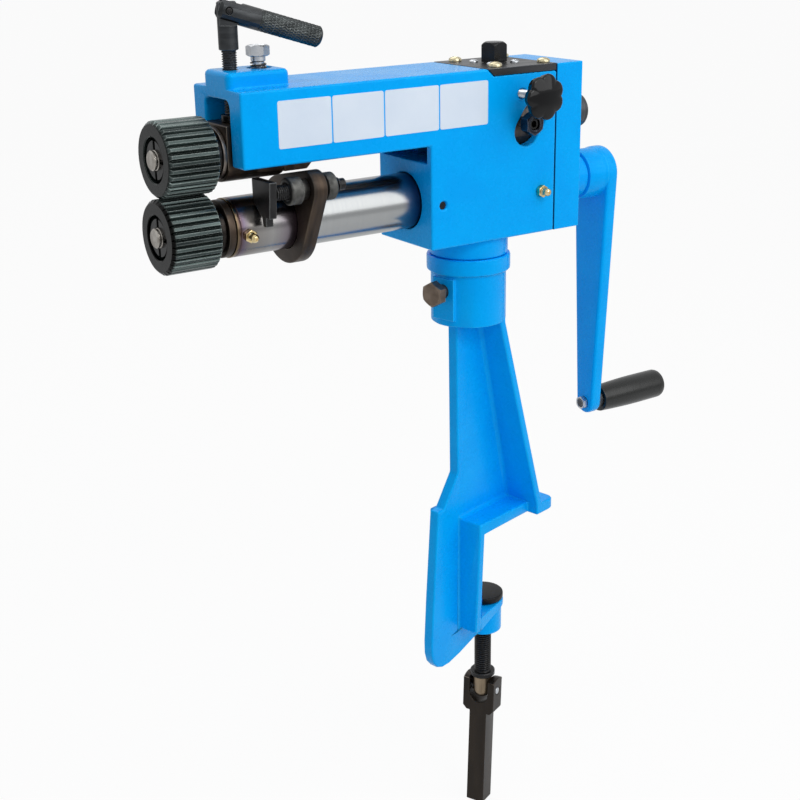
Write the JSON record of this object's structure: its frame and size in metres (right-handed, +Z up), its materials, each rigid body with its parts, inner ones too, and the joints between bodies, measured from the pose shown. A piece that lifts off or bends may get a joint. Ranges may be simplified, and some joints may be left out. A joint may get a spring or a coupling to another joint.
{
  "type": "bead roller",
  "caption": "Hand cranked bench bead roller: geared rolls on a hollow beam, press screw, fence gauge and a swivelling head on a clamp stand.",
  "frame": {"origin": "on the axis of the swivel post, in the flat underside of the shelf that rests on the bench", "axes": "+Z up along the swivel post; +X along the lower shaft from the rolls to the crank; +Y away from the side that carries the star knob and the gauge rod"},
  "size_m": [0.4564, 0.1122, 0.6871],
  "materials": {
    "blue_paint": "azure blue gloss enamel with light orange peel over iron castings",
    "zinc_plate": "bright zinc plated steel fasteners",
    "yellow_zinc": "pale yellow passivated zinc screws",
    "black_oxide": "oiled black oxide on machined steel",
    "roll_oxide": "black oxide with a grey green sheen on hardened steel rolls",
    "brown_oxide": "brown black oxide on machined steel",
    "ground_steel": "ground bright steel with light rings and heat tint at the front",
    "grey_steel": "plain machined steel, dull grey",
    "knurled_steel": "fine knurled dull grey steel",
    "dark_plate": "dark grey phosphated plate",
    "brass": "turned brass",
    "bronze": "turned bearing bronze",
    "gloss_black": "glossy black moulded phenolic",
    "satin_black": "satin black moulded plastic grip"
  },
  "bodies": {
    "stand": {"stand_bracket": "blue_paint"},
    "head_lock": {"head_lock_bolt": "zinc_plate"},
    "clamp_pad": {"clamp_pad": "black_oxide"},
    "clamp_screw": {"clamp_screw": "black_oxide"},
    "clamp_handle": {"clamp_handle": "black_oxide", "clamp_handle_pin": "zinc_plate"},
    "head": {"head_casting": "blue_paint", "rear_cover": "blue_paint", "cover_screw_1": "zinc_plate", "cover_screw_2": "zinc_plate", "cover_screw_3": "zinc_plate", "cover_screw_4": "zinc_plate", "lower_tube": "ground_steel", "tube_front_bush": "brown_oxide", "lower_bearing_carrier": "grey_steel", "tube_nipple": "brass", "side_nipple": "brass", "tube_set_screw": "black_oxide", "top_plate": "dark_plate", "plate_screw_1": "yellow_zinc", "plate_screw_2": "yellow_zinc", "plate_screw_3": "yellow_zinc", "plate_screw_4": "yellow_zinc", "rear_cap": "grey_steel", "lift_spring": "black_oxide"},
    "lock_knob": {"lock_knob": "gloss_black", "lock_knob_stud": "zinc_plate"},
    "adjuster": {"adjuster_post": "black_oxide"},
    "carriage": {"bearing_race": "grey_steel"},
    "sleeve": {"adjusting_sleeve": "grey_steel", "sleeve_stud": "black_oxide", "sleeve_nut": "black_oxide"},
    "upper_carrier": {"upper_bearing_block": "brown_oxide", "upper_front_bush": "bronze", "pivot_bush": "bronze", "lift_bolt": "zinc_plate"},
    "upper_shaft": {"upper_shaft": "black_oxide", "upper_roll": "roll_oxide", "upper_roll_nut": "black_oxide", "upper_gear": "grey_steel", "upper_end_nut": "black_oxide"},
    "crank": {"lower_shaft": "black_oxide", "lower_roll": "roll_oxide", "lower_roll_nut": "black_oxide", "lower_gear": "grey_steel", "crank_arm": "blue_paint", "crank_bolt": "zinc_plate", "grip_spindle": "zinc_plate", "spindle_nut": "zinc_plate"},
    "grip": {"grip": "satin_black"},
    "gauge_bracket": {"gauge_bracket": "brown_oxide", "gauge_lock_screw": "black_oxide"},
    "fence": {"fence_plate": "black_oxide", "fence_rod": "black_oxide"},
    "front_gauge_nut": {"front_gauge_nut": "knurled_steel"},
    "rear_gauge_nut": {"rear_gauge_nut": "knurled_steel"},
    "press_foot": {"press_foot": "black_oxide"},
    "press_screw": {"press_screw": "black_oxide"},
    "press_handle": {"press_handle": "black_oxide", "press_handle_pin": "black_oxide"}
  },
  "joints": [
    {"name": "head_swivel", "type": "hinge", "parent": "stand", "child": "head", "pos_m": [0, 0, 0.2231], "axis": [0, 0, 1], "continuous": true},
    {"name": "head_lock_turn", "type": "hinge", "parent": "stand", "child": "head_lock", "pos_m": [0, 0, 0.1981], "axis": [-0.9727, -0.2323, 0], "range_deg": [0, 180]},
    {"name": "clamp_travel", "type": "slide", "parent": "stand", "child": "clamp_pad", "axis": [0, 0, 1], "range_m": [0, 0.035]},
    {"name": "clamp_turn", "type": "hinge", "parent": "clamp_pad", "child": "clamp_screw", "pos_m": [0.01897, 0.00453, -0.12], "axis": [0, 0, 1], "range_deg": [0, 6300]},
    {"name": "clamp_fold", "type": "hinge", "parent": "clamp_screw", "child": "clamp_handle", "pos_m": [0.01897, 0.00453, -0.1637], "axis": [-0.4274, 0.9041, 0], "range_deg": [-93.5, 86.5]},
    {"name": "crank_turn", "type": "hinge", "parent": "head", "child": "crank", "pos_m": [0, 0, 0.2691], "axis": [1, 0, 0], "continuous": true},
    {"name": "grip_spin", "type": "hinge", "parent": "crank", "child": "grip", "pos_m": [0.17, 0, 0.0761], "axis": [1, 0, 0], "continuous": true},
    {"name": "lock_knob_turn", "type": "hinge", "parent": "head", "child": "lock_knob", "pos_m": [0.0232, 0, 0.3411], "axis": [0, -1, 0], "range_deg": [0, 180]},
    {"name": "adjuster_turn", "type": "hinge", "parent": "head", "child": "adjuster", "pos_m": [0.0232, 0, 0.36], "axis": [0, 0, 1], "range_deg": [-40, 40]},
    {"name": "axial_shift", "type": "slide", "parent": "head", "child": "carriage", "axis": [1, 0, 0], "range_m": [-0.0019, 0.0019]},
    {"name": "sleeve_turn", "type": "hinge", "parent": "carriage", "child": "sleeve", "pos_m": [0.0262, 0, 0.3191], "axis": [1, 0, 0], "range_deg": [-5, 5]},
    {"name": "press_travel", "type": "slide", "parent": "head", "child": "press_foot", "axis": [0, 0, 1], "range_m": [0, 0.01]},
    {"name": "press_turn", "type": "hinge", "parent": "press_foot", "child": "press_screw", "pos_m": [-0.1913, 0, 0.38], "axis": [0, 0, 1], "range_deg": [0, 2060]},
    {"name": "press_fold", "type": "hinge", "parent": "press_screw", "child": "press_handle", "pos_m": [-0.1913, 0, 0.40785], "axis": [-0.2079, -0.9781, 0], "range_deg": [0, 215]},
    {"name": "upper_tilt", "type": "hinge", "parent": "carriage", "child": "upper_carrier", "pos_m": [0.0262, 0, 0.3191], "axis": [0, 1, 0], "range_deg": [0, 2.62], "deforming": ["lift_spring"]},
    {"name": "upper_spin", "type": "hinge", "parent": "upper_carrier", "child": "upper_shaft", "pos_m": [0, 0, 0.3191], "axis": [1, 0, 0], "continuous": true},
    {"name": "gauge_slide", "type": "slide", "parent": "head", "child": "gauge_bracket", "axis": [1, 0, 0], "range_m": [-0.001, 0.06]},
    {"name": "fence_slide", "type": "slide", "parent": "gauge_bracket", "child": "fence", "axis": [1, 0, 0], "range_m": [-0.009, 0.008]},
    {"name": "front_nut_spin", "type": "hinge", "parent": "gauge_bracket", "child": "front_gauge_nut", "pos_m": [-0.165, -0.0327, 0.2947], "axis": [1, 0, 0], "range_deg": [-1930, 2170]},
    {"name": "rear_nut_spin", "type": "hinge", "parent": "gauge_bracket", "child": "rear_gauge_nut", "pos_m": [-0.14, -0.0327, 0.2947], "axis": [1, 0, 0], "range_deg": [-1930, 2170]}
  ],
  "couplings": [
    {"joint": "clamp_turn", "follows": "clamp_travel", "rad_per_m": 3141.6},
    {"joint": "press_turn", "follows": "press_travel", "rad_per_m": 3590.4},
    {"joint": "upper_tilt", "follows": "press_travel", "rad_per_m": 4.5},
    {"joint": "upper_spin", "follows": "crank_turn", "ratio": -1},
    {"joint": "adjuster_turn", "follows": "axial_shift", "rad_per_m": 362.32},
    {"joint": "sleeve_turn", "follows": "axial_shift", "rad_per_m": -39.855},
    {"joint": "front_nut_spin", "follows": "fence_slide", "rad_per_m": -4188.8},
    {"joint": "rear_nut_spin", "follows": "fence_slide", "rad_per_m": -4188.8}
  ]
}
